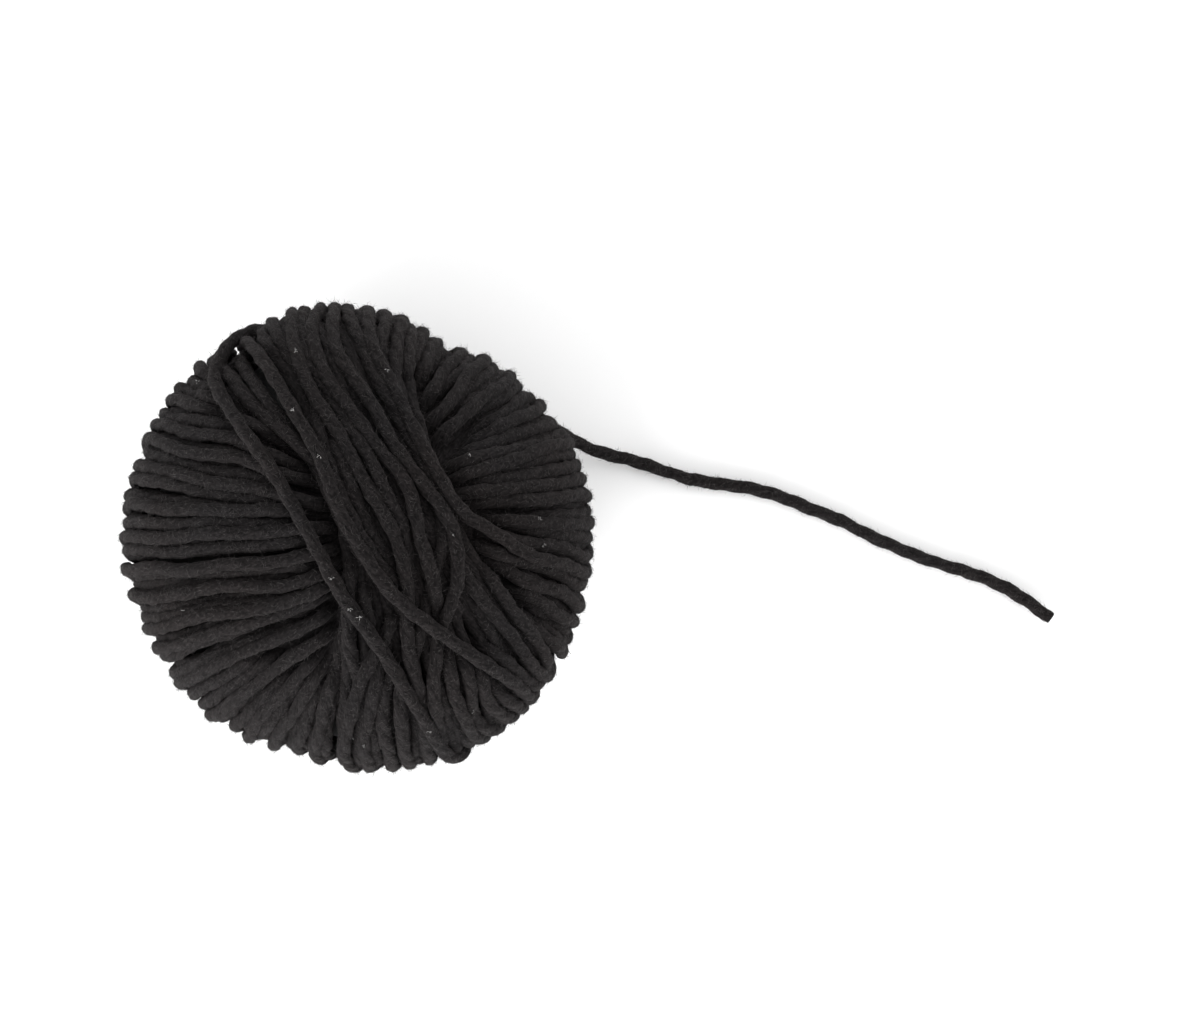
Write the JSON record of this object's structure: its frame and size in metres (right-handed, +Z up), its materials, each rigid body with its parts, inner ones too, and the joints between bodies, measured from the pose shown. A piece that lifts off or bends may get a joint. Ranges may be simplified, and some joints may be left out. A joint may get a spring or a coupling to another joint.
{
  "type": "ball of sewing thread",
  "caption": "Hand-wound ball of thick soft black thread, slightly flattened, with a loose end lying on the surface beside it.",
  "frame": {"origin": "middle of the flat spot that the ball rests on, at the height of the surface", "axes": "+Z up from the surface through the ball's short extent, +X to the side where the loose end lies, +Y to the side where the slack loop stands out"},
  "size_m": [0.1546, 0.0763, 0.0559],
  "materials": {
    "thread": "matt, soft twisted black thread with a short fuzz"
  },
  "bodies": {
    "root": {"ball": "thread", "loose_end": "thread"}
  },
  "joints": []
}
